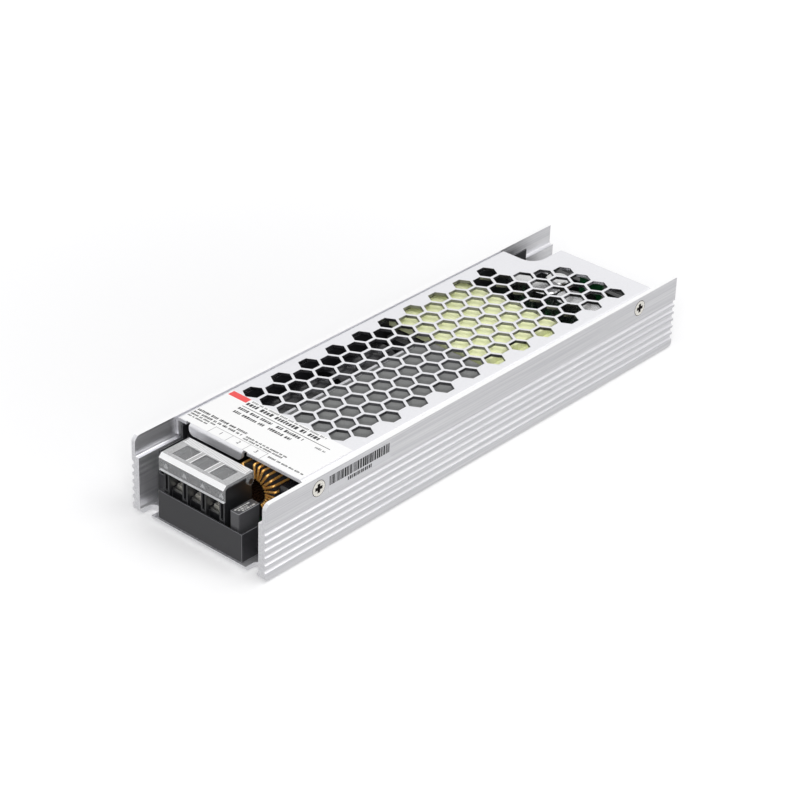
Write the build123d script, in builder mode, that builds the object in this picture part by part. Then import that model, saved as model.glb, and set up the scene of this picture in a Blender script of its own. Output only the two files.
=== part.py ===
from build123d import *

import os

# Slim enclosed switching power supply: an aluminium channel extrusion with grooved walls, closed by
# a perforated sheet cover, with a terminal block at each end and the circuit on one board between.
# X runs across the case, Y along it from the input end to the output end, and Z is up.
# The origin is the centre of the underside. All sizes are millimetres.

os.makedirs("parts", exist_ok=True)

# Clearances
RUNNING = 0.05  # pin or shaft in its bore, at the radius
SLIP = 0.1  # sheet or screw beside its neighbour
AIR = 0.3  # free space round parts that are only dropped in place

# Channel extrusion
LENGTH = 194.0
WIDTH = 55.0
HEIGHT = 26.0
BASE = 1.6
WALL = 3.0
RIM = 1.5
LEDGE_Z = 19.2
LEDGE_RADIUS = 0.6
ROOT_RADIUS = 1.0
FOOT_RADIUS = 0.6
GROOVE_COUNT = 6
GROOVE_PITCH = 2.6
GROOVE_FIRST_Z = 3.7
GROOVE_WIDTH = 1.76
GROOVE_DEPTH = 0.75
FRONT_TOP_RADIUS = 2.2
BOTTOM_END_RADIUS = 1.5
MOUNT_NOTCH_INSET = 2.8
MOUNT_NOTCH_WIDTH = 4.5
MOUNT_NOTCH_DEPTH = 5.0
TAP_INSET = 7.0
TAP_SETBACK = 32.0
TAP_RADIUS = 1.25

# Perforated cover
SHEET = 1.0
COVER_DROP = 0.1  # the label's thickness: cover and label together are level with the walls
COVER_BEND = 1.2
COVER_FRONT_SETBACK = 16.7
COVER_BACK_SETBACK = 11.8
ACCESS_NOTCH_X = 14.0
ACCESS_NOTCH_LENGTH = 14.3
ACCESS_NOTCH_RADIUS = 5.5
LIP_INSET = 5.85
LIP_WIDTH = 22.0
LIP_DROP = 3.5
LIP_CORNER = 2.0
RELIEF_WIDTH = 1.5
RELIEF_DEPTH = 1.2
HEX_FLATS = 6.0
HEX_PITCH_X = 7.08
HEX_PITCH_Y = 6.08
HEX_SIDE_MARGIN = 3.2
HEX_START = 26.3
HEX_BACK_MARGIN = 10.0
HEX_NOTCH_MARGIN_X = 6.0
HEX_NOTCH_MARGIN_Y = 9.6

# Cover screws, M3 with countersunk heads
SCREW_BELOW_TOP = 3.9
SCREW_FRONT_SETBACK = 21.8
SCREW_BACK_SETBACK = 19.85
SCREW_BACK_LEFT_SETBACK = 34.0
SCREW_RADIUS = 1.45
SCREW_HEAD_RADIUS = 2.75
SCREW_LENGTH = 3.0
RECESS_SPAN = 2.6
RECESS_WIDTH = 0.7
RECESS_DEPTH = 0.8

# Insulating tray and board
FILM = 0.5
TRAY_SETBACK = 0.7
TRAY_STEP = 7.0
TRAY_FRONT_SHOULDER = 7.5
TRAY_BACK_SHOULDER = 6.0
TRAY_END_TOP = 11.2
TRAY_SIDE_GAP = 1.5
TRAY_TALL_BACK_SETBACK = 15.5
TAB_WIDTH = 1.5
TAB_LENGTH = 1.9
TAB_FOOT = 3.6
BOARD_LIFT = 2.1
BOARD = 1.6
STANDOFF_INSET = 2.6
STANDOFF_FRONT_SETBACK = 35.0
STANDOFF_BACK_SETBACK = 34.0
STANDOFF_FLATS = 4.5
BOARD_SCREW_RADIUS = 1.2
BOARD_SCREW_HEAD_RADIUS = 2.3
BOARD_SCREW_HEAD = 1.6

# Barrier terminal blocks
BARRIER = 2.1
BARRIER_SLOT = 1.0
BARRIER_SLOT_DEPTH = 1.6
POLE_PITCH = 7.62
INPUT_INSET = 0.92
INPUT_SIDE_ROOM = 6.5
INPUT_DEPTH = 11.2
INPUT_TOP_GAP = 3.4
INPUT_DECK = 6.3
OUTPUT_DEPTH = 11.0
OUTPUT_HEIGHT = 12.0
OUTPUT_DECK = 4.2
BLOCK_BACK = 1.9
FACE_SETBACK = 1.3
FACE_FOOT = 1.5
POLE_PLATE = 0.8
POLE_PLATE_WIDTH = 5.0
WASHER_SIDE = 4.8
WASHER = 0.6
POLE_SCREW_HEAD_RADIUS = 2.2
POLE_SCREW_HEAD = 1.3
POLE_SCREW_RADIUS = 1.4
POLE_SCREW_LENGTH = 4.4
PLATE_SETBACK = 1.4

# Clear flap over the input terminals
FLAP = 0.9
FLAP_GAP = 0.4
FLAP_TOP_RISE = 1.9
FLAP_SKIRT = 5.5
FLAP_BEVEL = 1.3
FLAP_ARM = 0.7
FLAP_ARM_WIDTH = 2.6
FLAP_NUB = 0.9
FLAP_NUB_RISE = 0.8
FLAP_NUB_DEPTH = 0.25
WINDOW_WIDTH = 5.6
WINDOW_LENGTH = 6.3
WINDOW_DEPTH = 0.3
WINDOW_INSET = 2.7
PIVOT_RADIUS = 0.9
PIVOT_BACK = 1.3
PIVOT_BELOW_TOP = 1.0
PIVOT_LENGTH = 1.0

# Input filter
FILM_CAP = (3.5, 8.6, 11.0)
FILM_CAP_INSET = 1.25
FILM_CAP_SETBACK = 1.6
CHOKE_INSET = 15.5
CHOKE_SETBACK = 19.1
CHOKE_CROWN = 0.4
CHOKE_WIRE = 0.85
CHOKE_CORE_SECTION = 3.5
CHOKE_CORE_LENGTH = 6.0
CHOKE_TURNS = 11
CHOKE_TURN_ANGLE = 13.0
VARISTOR_WIDTH = 4.4
VARISTOR_LENGTH = 6.6
VARISTOR_CROWN = 2.9
VARISTOR_INSET = 1.2
VARISTOR_SETBACK = 14.7
VARISTOR_LIFT = 1.2
VARISTOR_ROUND = 1.2
LEAD_RADIUS = 0.4
LEAD_SPACING = 5.0
X_CAP_LENGTH = 13.5
X_CAP_CROWN = 3.9
X_CAP_INSET = 1.35
X_CAP_SIDE_GAP = 2.25
X_CAP_SETBACK = 17.2
FUSE = (4.0, 8.5, 7.7)
FUSE_SETBACK = 28.0
DISC_RADIUS = 3.6
DISC = 2.6
DISC_LIFT = 1.2
DISC_INSET = 11.4
DISC_SPACING = 8.0
DISC_SETBACK = 37.5

# Primary side
BULK_CROWN = 3.1
BULK_GAP = 3.0
BULK_CORE_GAP = 6.0
BULK_SETBACK = 45.0
BULK_LEAD_REACH = 1.2
SINK = 1.8
SINK_OVER_BULK = 0.6
SINK_INSET = 1.0
SINK_SETBACK = 40.0
SINK_CORE_GAP = 2.0
SINK_RIM = 1.0
SINK_RIM_RISE = 1.2
PAD = 1.0
PAD_INSET = 1.2
PAD_CROWN = 2.2
BRIDGE_THICKNESS = 3.4
TRANSISTOR_THICKNESS = 4.2
PACKAGE_LIFT = 3.0
PACKAGE_CROWN = 3.1
LEAD_WIDTH = 0.8
LEAD_PITCH = 2.54
BOOST_SIDE_GAP = 3.8
BOOST_CROWN = 2.1
BOOST_SETBACK = 46.0

# Transformer
CORE_INSET = 3.4
CORE_LENGTH = 38.0
CORE_BACK_SETBACK = 52.0
CORE_END = 6.0
CORE_LEG = 5.0
CORE_POST = 12.0
CORE_BELOW_WINDING = 2.3
TRANSFORMER_CROWN = 1.4
BOBBIN = 1.0
WINDING_SIDE_GAP = 0.6
WINDING_ROUND = 3.0
TAPE = 0.4
RAIL_LENGTH = 5.0

# Output side
OUTPUT_SINK_INSET = 2.4
OUTPUT_SINK = 4.0
OUTPUT_SINK_HEIGHT = 13.0
OUTPUT_SINK_BACK_SETBACK = 41.5
RECTIFIER = (4.2, 10.0, 9.0)
RECTIFIER_INSET = 2.5
OUTPUT_CAP_RADIUS = 4.9
OUTPUT_CAP_CROWN = 4.1
OUTPUT_CAP_SIDE_MARGIN = 2.4
OUTPUT_CAP_PITCH = 10.5
OUTPUT_CAP_BACK_SETBACK = 27.8
END_CAP_RADIUS = 4.0
END_CAP_HEIGHT = 13.0
END_CAP_INSET = 15.0
END_CAP_BACK_SETBACK = 17.4
RING_INSET = 7.0
RING_BACK_SETBACK = 17.8
RING_RADIUS = 4.7
RING_BORE = 1.9
RING_HEIGHT = 9.0
RING_BEVEL = 1.1
CONTROL_THICKNESS = 1.2
CONTROL_CROWN = 3.6
CONTROL_SIDE_GAP = 3.3
CONTROL_BACK_SETBACK = 13.8
CHIP = (5.0, 1.5, 4.0)
CHIP_LIFT = 7.0
TRIMMER = (6.0, 5.0, 5.5)
TRIMMER_INSET = 0.6
TRIMMER_BACK_SETBACK = 12.1
ROTOR_RADIUS = 2.0
ROTOR_SUNK = 1.3
ROTOR_PROUD = 0.5
LED_RADIUS = 1.5
LED_FLANGE = 0.4
LED_FLANGE_HEIGHT = 0.8
LED_HEIGHT = 5.0
LED_INSET = 3.8
LED_BACK_SETBACK = 8.9

# Label and serial sticker
LABEL_INSET = 0.25
LABEL_LENGTH = 22.2
LABEL_SETBACK = 17.1
STICKER = 0.06
STICKER_LENGTH = 26.8
STICKER_HEIGHT = 5.6
STICKER_TOP_GAP = 1.6
STICKER_SETBACK = 25.9

# Levels and ends that follow from the sizes above
FRONT = -LENGTH / 2
BACK = LENGTH / 2
channel_half = WIDTH / 2 - WALL
rim_half = WIDTH / 2 - RIM
cover_top = HEIGHT - COVER_DROP
cover_under = cover_top - SHEET
cover_half = rim_half - RUNNING
cover_front = FRONT + COVER_FRONT_SETBACK
cover_back = BACK - COVER_BACK_SETBACK
board_under = BASE + FILM + BOARD_LIFT
board_top = board_under + BOARD
headroom = cover_under - board_top
tray_front = FRONT + TRAY_SETBACK
tray_back = BACK - TRAY_SETBACK
tray_half = channel_half - AIR
wide_front = FRONT + TRAY_FRONT_SHOULDER
wide_back = BACK - TRAY_BACK_SHOULDER
board_inset = FILM + AIR
narrow_half = tray_half - TRAY_STEP
board_half = tray_half - board_inset
tongue_half = narrow_half - board_inset
screw_hole = SCREW_RADIUS + RUNNING


def save(part, name):
    """Labels a finished piece and writes its file."""
    part.label = name
    export_step(part, f"parts/{name}.step")


def middle(low, high):
    """Halfway between two places."""
    return (low + high) / 2


def side_plane(side):
    """The outer face of one wall, seen from outside: local x runs along Y, local y up."""
    return Plane(origin=(side * WIDTH / 2, 0, 0), x_dir=(0, side, 0), z_dir=(side, 0, 0))


def cover_screw_places(side):
    """Places of the cover screws on one wall, in that wall's plane."""
    back_setback = SCREW_BACK_SETBACK if side > 0 else SCREW_BACK_LEFT_SETBACK
    rows = (FRONT + SCREW_FRONT_SETBACK, BACK - back_setback)
    return [(side * y, HEIGHT - SCREW_BELOW_TOP) for y in rows]


# Chassis: a channel extrusion with a ledge inside each wall, concave grooves outside, milled ends
groove_radius = (GROOVE_WIDTH**2 / 4 + GROOVE_DEPTH**2) / (2 * GROOVE_DEPTH)
groove_centre_x = WIDTH / 2 + groove_radius - GROOVE_DEPTH
with BuildPart() as chassis:
    with BuildSketch(Plane.XZ) as section:
        with Locations((0, HEIGHT / 2)):
            Rectangle(WIDTH, HEIGHT)
        with Locations((0, middle(BASE, HEIGHT))):
            Rectangle(2 * channel_half, HEIGHT - BASE, mode=Mode.SUBTRACT)
        with Locations((0, middle(LEDGE_Z, HEIGHT))):
            Rectangle(2 * rim_half, HEIGHT - LEDGE_Z, mode=Mode.SUBTRACT)
        for side in (-1, 1):
            corners = section.vertices()
            fillet(corners.sort_by_distance((side * channel_half, BASE))[0], ROOT_RADIUS)
            fillet(section.vertices().sort_by_distance((side * rim_half, LEDGE_Z))[0], LEDGE_RADIUS)
            fillet(section.vertices().sort_by_distance((side * WIDTH / 2, 0))[0], FOOT_RADIUS)
            for groove in range(GROOVE_COUNT):
                with Locations((side * groove_centre_x, GROOVE_FIRST_Z + groove * GROOVE_PITCH)):
                    Circle(groove_radius, mode=Mode.SUBTRACT)
    extrude(amount=LENGTH / 2, both=True)
    with BuildSketch(Plane.YZ) as side_outline:
        with Locations((0, HEIGHT / 2)):
            Rectangle(LENGTH, HEIGHT)
        fillet(side_outline.vertices().group_by(Axis.Y)[0], BOTTOM_END_RADIUS)
        fillet(side_outline.vertices().sort_by_distance((FRONT, HEIGHT))[0], FRONT_TOP_RADIUS)
    extrude(amount=WIDTH, both=True, mode=Mode.INTERSECT)
    with BuildSketch():
        with GridLocations(2 * (channel_half - MOUNT_NOTCH_INSET), LENGTH, 2, 2):
            SlotOverall(2 * MOUNT_NOTCH_DEPTH, MOUNT_NOTCH_WIDTH, rotation=90)
        with GridLocations(2 * (channel_half - TAP_INSET), LENGTH - 2 * TAP_SETBACK, 2, 2):
            Circle(TAP_RADIUS)
    extrude(amount=BASE + ROOT_RADIUS, mode=Mode.SUBTRACT)
    for side in (-1, 1):
        with Locations(side_plane(side)):
            with Locations(*cover_screw_places(side)):
                CounterSinkHole(screw_hole, SCREW_HEAD_RADIUS, depth=RIM + SLIP, counter_sink_angle=90)
save(chassis.part, "chassis")


# Cover: one sheet, folded down inside both walls, with a lip over the terminals and hexagonal vents
flange_bottom = LEDGE_Z + LEDGE_RADIUS + SLIP
notch_edge_x = -rim_half + ACCESS_NOTCH_X
notch_edge_y = cover_back - ACCESS_NOTCH_LENGTH
lip_left = -cover_half + LIP_INSET
lip_centre_x = lip_left + LIP_WIDTH / 2


def vent_places():
    """Centres of the vents: staggered columns, with plain sheet left round the access notch."""
    first_y = cover_front + HEX_START
    length_room = cover_back - HEX_BACK_MARGIN - first_y
    width_room = 2 * (cover_half - HEX_SIDE_MARGIN) - HEX_FLATS - HEX_PITCH_X / 2
    rows = int(width_room / HEX_PITCH_X) + 1
    places = []
    for column in range(int(length_room / HEX_PITCH_Y + 0.5) + 1):
        y = first_y + column * HEX_PITCH_Y
        stagger = HEX_PITCH_X / 4 * (1 if column % 2 else -1)
        for row in range(rows):
            x = stagger + (row - (rows - 1) / 2) * HEX_PITCH_X
            beside = max(0, x - notch_edge_x) / HEX_NOTCH_MARGIN_X
            before = max(0, notch_edge_y - y) / HEX_NOTCH_MARGIN_Y
            if beside**2 + before**2 > 1:
                places.append((x, y))
    return places


with BuildPart() as cover:
    with BuildSketch(Plane.XZ.offset(-cover_front)) as fold:
        with Locations((0, middle(flange_bottom, cover_top))):
            Rectangle(2 * cover_half, cover_top - flange_bottom)
        fillet(fold.vertices().group_by(Axis.Y)[-1], COVER_BEND)
        with BuildSketch(mode=Mode.PRIVATE) as hollow:
            with Locations((0, middle(flange_bottom - SHEET, cover_under))):
                Rectangle(2 * (cover_half - SHEET), cover_under - flange_bottom + SHEET)
            fillet(hollow.vertices().group_by(Axis.Y)[-1], COVER_BEND - SHEET)
        add(hollow.sketch, mode=Mode.SUBTRACT)
    extrude(amount=cover_front - cover_back)
    with BuildSketch(Plane.XZ.offset(-cover_front)) as lip:
        with Locations((lip_centre_x, cover_top - LIP_DROP / 2)):
            Rectangle(LIP_WIDTH, LIP_DROP)
        fillet(lip.vertices().group_by(Axis.Y)[0], LIP_CORNER)
    extrude(amount=SHEET / 2, both=True)
    with BuildSketch(Plane.XY.offset(flange_bottom)) as cuts:
        with Locations((-rim_half, cover_back)):
            Rectangle(2 * ACCESS_NOTCH_X, 2 * ACCESS_NOTCH_LENGTH)
        fillet(cuts.vertices().sort_by_distance((notch_edge_x, notch_edge_y))[0], ACCESS_NOTCH_RADIUS)
        for edge_x in (lip_left - RELIEF_WIDTH / 2, lip_left + LIP_WIDTH + RELIEF_WIDTH / 2):
            with Locations((edge_x, cover_front)):
                Rectangle(RELIEF_WIDTH, 2 * RELIEF_DEPTH)
    extrude(amount=HEIGHT - flange_bottom, mode=Mode.SUBTRACT)
    lip_edge = cover.edges().sort_by_distance((lip_centre_x, cover_front - SHEET / 2, cover_top))[0]
    fillet(lip_edge, SHEET - SLIP)
    with BuildSketch(Plane.XY.offset(cover_top)):
        with Locations(*vent_places()):
            RegularPolygon(HEX_FLATS / 2, 6, major_radius=False, rotation=30)
    extrude(amount=-SHEET, mode=Mode.SUBTRACT)
    for side in (-1, 1):
        with Locations(side_plane(side)):
            with Locations(*cover_screw_places(side)):
                Hole(screw_hole, depth=WALL + SHEET)
save(cover.part, "cover")


# Cover screws: countersunk machine screws with a cross recess, through the rims into the flanges
head_height = SCREW_HEAD_RADIUS - SCREW_RADIUS
inward = (Align.CENTER, Align.CENTER, Align.MAX)
with BuildPart() as cover_screws:
    for side in (-1, 1):
        with Locations(side_plane(side)):
            with Locations(*cover_screw_places(side)):
                Cylinder(SCREW_RADIUS, SCREW_LENGTH, align=inward)
                Cone(SCREW_RADIUS, SCREW_HEAD_RADIUS, head_height, align=inward)
                for span, width in ((RECESS_SPAN, RECESS_WIDTH), (RECESS_WIDTH, RECESS_SPAN)):
                    Box(span, width, RECESS_DEPTH, align=inward, mode=Mode.SUBTRACT)
save(cover_screws.part, "cover_screws")


def case_plan(inset):
    """Draws the plan that tray and board share: full width, with narrow tongues at both ends."""
    with Locations((0, middle(tray_front, tray_back))):
        Rectangle(2 * (narrow_half - inset), tray_back - tray_front - 2 * inset)
    with Locations((0, middle(wide_front, wide_back))):
        Rectangle(2 * (tray_half - inset), wide_back - wide_front - 2 * inset)


standoff_places = [
    (side * (board_half - STANDOFF_INSET), y)
    for side in (-1, 1)
    for y in (FRONT + STANDOFF_FRONT_SETBACK, BACK - STANDOFF_BACK_SETBACK)
]

# Insulating tray: a black film folded up round the board, low at the ends and tall under the cover
tray_side_top = cover_under - TRAY_SIDE_GAP
tall_front = cover_front + FILM
tall_back = BACK - TRAY_TALL_BACK_SETBACK
with BuildPart() as insulating_tray:
    with BuildSketch(Plane.XY.offset(BASE)):
        case_plan(0)
    extrude(amount=TRAY_END_TOP - BASE)
    with BuildSketch(Plane.XY.offset(BASE)):
        with Locations((0, middle(wide_front, tall_back))):
            Rectangle(2 * tray_half, tall_back - wide_front)
    extrude(amount=LEDGE_Z - AIR - BASE)
    with BuildSketch(Plane.XY.offset(BASE)):
        with Locations((0, middle(tall_front, tall_back))):
            Rectangle(2 * tray_half, tall_back - tall_front)
    extrude(amount=tray_side_top - BASE)
    with BuildSketch(Plane.XY.offset(BASE + FILM)):
        case_plan(FILM)
    extrude(amount=HEIGHT, mode=Mode.SUBTRACT)
    with BuildSketch(Plane.XY.offset(TRAY_END_TOP)):
        with Locations((0, wide_front)):
            Rectangle(2 * tray_half, 2 * FILM)
    extrude(amount=HEIGHT, mode=Mode.SUBTRACT)
    with BuildSketch(Plane.XY.offset(TRAY_END_TOP - FILM)):
        with Locations((-narrow_half + TAB_WIDTH / 2, tray_front + TAB_LENGTH / 2)):
            Rectangle(TAB_WIDTH, TAB_LENGTH)
        with Locations((-narrow_half + TAB_FOOT / 2, tray_front + (board_inset - SLIP) / 2)):
            Rectangle(TAB_FOOT, board_inset - SLIP)
    extrude(amount=FILM)
    with BuildSketch(Plane.XY.offset(BASE)):
        with Locations(*standoff_places):
            RegularPolygon(STANDOFF_FLATS / 2 + SLIP, 6, major_radius=False)
    extrude(amount=FILM, mode=Mode.SUBTRACT)
    for side in (-1, 1):
        long_edges = insulating_tray.edges().filter_by(Axis.Y)
        fillet(long_edges.sort_by_distance((side * tray_half, 0, BASE))[0], ROOT_RADIUS)
save(insulating_tray.part, "insulating_tray")


# Main board, with its screws and the hexagonal standoffs pressed into the base
with BuildPart() as main_board:
    with BuildSketch(Plane.XY.offset(board_under)):
        case_plan(board_inset)
        with Locations(*standoff_places):
            Circle(BOARD_SCREW_RADIUS + SLIP, mode=Mode.SUBTRACT)
    extrude(amount=BOARD)
save(main_board.part, "main_board")

with BuildPart() as board_standoffs:
    with BuildSketch(Plane.XY.offset(BASE)):
        with Locations(*standoff_places):
            RegularPolygon(STANDOFF_FLATS / 2, 6, major_radius=False)
            Circle(BOARD_SCREW_RADIUS + RUNNING, mode=Mode.SUBTRACT)
    extrude(amount=board_under - BASE)
save(board_standoffs.part, "board_standoffs")

with BuildPart() as board_screws:
    with BuildSketch(Plane.XY.offset(BASE + SLIP)):
        with Locations(*standoff_places):
            Circle(BOARD_SCREW_RADIUS)
    extrude(amount=board_top - BASE)
    with BuildSketch(Plane.XY.offset(board_top)):
        with Locations(*standoff_places):
            Circle(BOARD_SCREW_HEAD_RADIUS)
    extrude(amount=BOARD_SCREW_HEAD)
    head_rims = board_screws.faces().filter_by(Axis.Z).group_by(Axis.Z)[-1].edges()
    chamfer(head_rims, BOARD_SCREW_HEAD / 3)
save(board_screws.part, "board_screws")


# Terminal blocks: moulded barriers between the poles, open to the front and the top
input_front = tray_front + board_inset
input_back = input_front + INPUT_DEPTH
input_top = HEIGHT - INPUT_TOP_GAP
input_count = int((2 * tongue_half - INPUT_SIDE_ROOM - BARRIER) / POLE_PITCH)
input_width = input_count * POLE_PITCH + BARRIER
input_left = -tongue_half + INPUT_INSET
input_centre_x = input_left + input_width / 2
output_outer = tray_back - board_inset
output_inner = output_outer - OUTPUT_DEPTH
output_count = int((2 * tongue_half - BARRIER) / POLE_PITCH)


def pole_places(count, centre_x, y):
    """Middle of each pole across the block, at one place along it."""
    return [(centre_x + (pole - (count - 1) / 2) * POLE_PITCH, y) for pole in range(count)]


def barrier_places(count, centre_x, y):
    """Middle of each barrier across the block, at one place along it."""
    return [(centre_x + (wall - count / 2) * POLE_PITCH, y) for wall in range(count + 1)]


def terminal_set(block_name, prefix, count, centre_x, open_y, closed_y, top, deck, pin_z=None):
    """Moulded block with its strips and clamp screws. Wires enter at open_y."""
    inward = 1 if closed_y > open_y else -1
    shut_y = closed_y - inward * BLOCK_BACK
    face_y = open_y + inward * FACE_SETBACK
    start_y = open_y + inward * PLATE_SETBACK
    deck_z = board_top + deck
    plate_z = deck_z + POLE_PLATE
    head_z = plate_z + WASHER
    screw_places = pole_places(count, centre_x, middle(face_y, shut_y))
    with BuildPart() as block:
        with BuildSketch(Plane.XY.offset(board_top)):
            with Locations((centre_x, middle(open_y, closed_y))):
                Rectangle(count * POLE_PITCH + BARRIER, abs(closed_y - open_y))
        extrude(amount=top - board_top)
        with BuildSketch(Plane.XY.offset(deck_z)):
            with Locations(*pole_places(count, centre_x, middle(open_y, shut_y))):
                Rectangle(POLE_PITCH - BARRIER, abs(shut_y - open_y))
            with Locations(*barrier_places(count, centre_x, open_y)):
                Rectangle(BARRIER_SLOT, 2 * BARRIER_SLOT_DEPTH)
        extrude(amount=top, mode=Mode.SUBTRACT)
        with BuildSketch(Plane.XY.offset(board_top + FACE_FOOT)):
            with Locations(*pole_places(count, centre_x, open_y)):
                Rectangle(POLE_PITCH - BARRIER, 2 * FACE_SETBACK)
        extrude(amount=top, mode=Mode.SUBTRACT)
        with BuildSketch(Plane.XY.offset(deck_z)):
            with Locations(*screw_places):
                Circle(POLE_SCREW_RADIUS + RUNNING)
        extrude(amount=POLE_PLATE - POLE_SCREW_LENGTH - SLIP, mode=Mode.SUBTRACT)
        if pin_z is not None:
            for outward in (-1, 1):
                end_x = centre_x + outward * (count * POLE_PITCH + BARRIER) / 2
                with BuildSketch(Plane.YZ.offset(end_x)):
                    with Locations((closed_y - inward * PIVOT_BACK, pin_z)):
                        Circle(PIVOT_RADIUS)
                extrude(amount=outward * PIVOT_LENGTH)
    save(block.part, block_name)

    with BuildPart() as strips:
        with BuildSketch(Plane.XY.offset(deck_z)):
            with Locations(*pole_places(count, centre_x, middle(start_y, shut_y))):
                Rectangle(POLE_PLATE_WIDTH, abs(shut_y - start_y))
            with Locations(*screw_places):
                Circle(POLE_SCREW_RADIUS + RUNNING, mode=Mode.SUBTRACT)
        extrude(amount=POLE_PLATE)
    save(strips.part, f"{prefix}_terminals")

    with BuildPart() as screws:
        with BuildSketch(Plane.XY.offset(plate_z)):
            with Locations(*screw_places):
                Rectangle(WASHER_SIDE, WASHER_SIDE)
        extrude(amount=WASHER)
        with BuildSketch(Plane.XY.offset(plate_z)):
            with Locations(*screw_places):
                Circle(POLE_SCREW_RADIUS)
        extrude(amount=-POLE_SCREW_LENGTH)
        with BuildSketch(Plane.XY.offset(head_z)):
            with Locations(*screw_places):
                Circle(POLE_SCREW_HEAD_RADIUS)
        extrude(amount=POLE_SCREW_HEAD)
        with BuildSketch(Plane.XY.offset(head_z + POLE_SCREW_HEAD)):
            with Locations(*screw_places):
                Rectangle(RECESS_SPAN, RECESS_WIDTH)
                Rectangle(RECESS_WIDTH, RECESS_SPAN)
        extrude(amount=-RECESS_DEPTH, mode=Mode.SUBTRACT)
    save(screws.part, f"{prefix}_terminal_screws")


# The input block is tall, with a pivot pin on each end for the flap. The output block is lower.
pivot_y = input_back - PIVOT_BACK
pivot_z = input_top - PIVOT_BELOW_TOP
terminal_set(
    "input_terminal_block",
    "input",
    input_count,
    input_centre_x,
    input_front,
    input_back,
    input_top,
    INPUT_DECK,
    pivot_z,
)
terminal_set(
    "output_terminal_block",
    "output",
    output_count,
    0,
    output_outer,
    output_inner,
    board_top + OUTPUT_HEIGHT,
    OUTPUT_DECK,
)


# Clear flap: bevelled front skirt with nubs inside, sunk windows on top, and an arm at each end
flap_top = input_top + FLAP_TOP_RISE
flap_front = input_front - FLAP_GAP - FLAP
flap_back = pivot_y + FLAP_ARM_WIDTH / 2
skirt_bottom = flap_top - FLAP_SKIRT
flap_left = input_left - SLIP - FLAP_ARM
flap_width = input_width + 2 * (SLIP + FLAP_ARM)
with BuildPart() as input_terminal_cover:
    with BuildSketch(Plane.YZ.offset(flap_left)):
        with BuildLine():
            Polyline(
                (flap_front, skirt_bottom),
                (flap_front, flap_top - FLAP_BEVEL),
                (flap_front + FLAP_BEVEL, flap_top),
                (flap_back, flap_top),
                (flap_back, flap_top - FLAP),
                (flap_front + FLAP_BEVEL + FLAP / 2, flap_top - FLAP),
                (flap_front + FLAP, flap_top - FLAP_BEVEL - FLAP / 2),
                (flap_front + FLAP, skirt_bottom),
                close=True,
            )
        make_face()
    extrude(amount=flap_width)
    with BuildSketch(Plane.XZ.offset(-flap_front - FLAP)):
        with Locations(*barrier_places(input_count, input_centre_x, skirt_bottom + FLAP_NUB_RISE)):
            Triangle(a=2 * FLAP_NUB, b=2 * FLAP_NUB, c=2 * FLAP_NUB, align=(Align.CENTER, Align.MIN))
    extrude(amount=-FLAP_NUB_DEPTH)
    with BuildSketch(Plane.XY.offset(flap_top)):
        window_y = flap_front + WINDOW_INSET + WINDOW_LENGTH / 2
        with Locations(*pole_places(input_count, input_centre_x, window_y)):
            RectangleRounded(WINDOW_WIDTH, WINDOW_LENGTH, WINDOW_DEPTH)
    extrude(amount=-WINDOW_DEPTH, mode=Mode.SUBTRACT)
    for arm_x in (flap_left, flap_left + flap_width - FLAP_ARM):
        with BuildSketch(Plane.YZ.offset(arm_x)):
            with Locations((pivot_y, middle(pivot_z, flap_top - FLAP / 2))):
                Rectangle(FLAP_ARM_WIDTH, flap_top - FLAP / 2 - pivot_z)
            with Locations((pivot_y, pivot_z)):
                Circle(FLAP_ARM_WIDTH / 2)
                Circle(PIVOT_RADIUS + RUNNING, mode=Mode.SUBTRACT)
        extrude(amount=FLAP_ARM)
save(input_terminal_cover.part, "input_terminal_cover")


def upright_box(size, centre_x, front_y, corner, lift=0):
    """Moulded component standing on the board, with rounded upright edges."""
    width, length, height = size
    with BuildPart() as body:
        with BuildSketch(Plane.XY.offset(board_top + lift)):
            with Locations((centre_x, front_y + length / 2)):
                RectangleRounded(width, length, corner)
        extrude(amount=height)
    return body.part


# Input filter: film capacitors and the fuse stand on the board
choke_radius = (headroom - AIR - CHOKE_CROWN) / 2
choke_x = board_half - CHOKE_INSET
film_cap_x = tongue_half - FILM_CAP_INSET - FILM_CAP[0] / 2
save(upright_box(FILM_CAP, film_cap_x, FRONT + FILM_CAP_SETBACK, 0.3), "film_capacitor")
x_cap_left = -board_half + X_CAP_INSET
x_cap_right = choke_x - choke_radius - X_CAP_SIDE_GAP
x_cap_size = (x_cap_right - x_cap_left, X_CAP_LENGTH, headroom - X_CAP_CROWN)
save(upright_box(x_cap_size, middle(x_cap_left, x_cap_right), FRONT + X_CAP_SETBACK, 0.5), "x_capacitor")
save(upright_box(FUSE, choke_x - FUSE[0], FRONT + FUSE_SETBACK, 0.4), "input_fuse")

# Varistor in a shrink sleeve, on two leads
varistor_x = board_half - VARISTOR_INSET - VARISTOR_WIDTH / 2
varistor_front = FRONT + VARISTOR_SETBACK
varistor_size = (VARISTOR_WIDTH, VARISTOR_LENGTH, headroom - VARISTOR_CROWN - VARISTOR_LIFT)
with BuildPart() as varistor:
    add(upright_box(varistor_size, varistor_x, varistor_front, VARISTOR_ROUND, VARISTOR_LIFT))
    fillet(varistor.faces().sort_by(Axis.Z)[-1].edges(), VARISTOR_ROUND)
    with BuildSketch(Plane.XY.offset(board_top)):
        with Locations((varistor_x, varistor_front + VARISTOR_LENGTH / 2)):
            with GridLocations(0, LEAD_SPACING, 1, 2):
                Circle(LEAD_RADIUS)
    extrude(amount=VARISTOR_LIFT)
save(varistor.part, "varistor")

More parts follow.
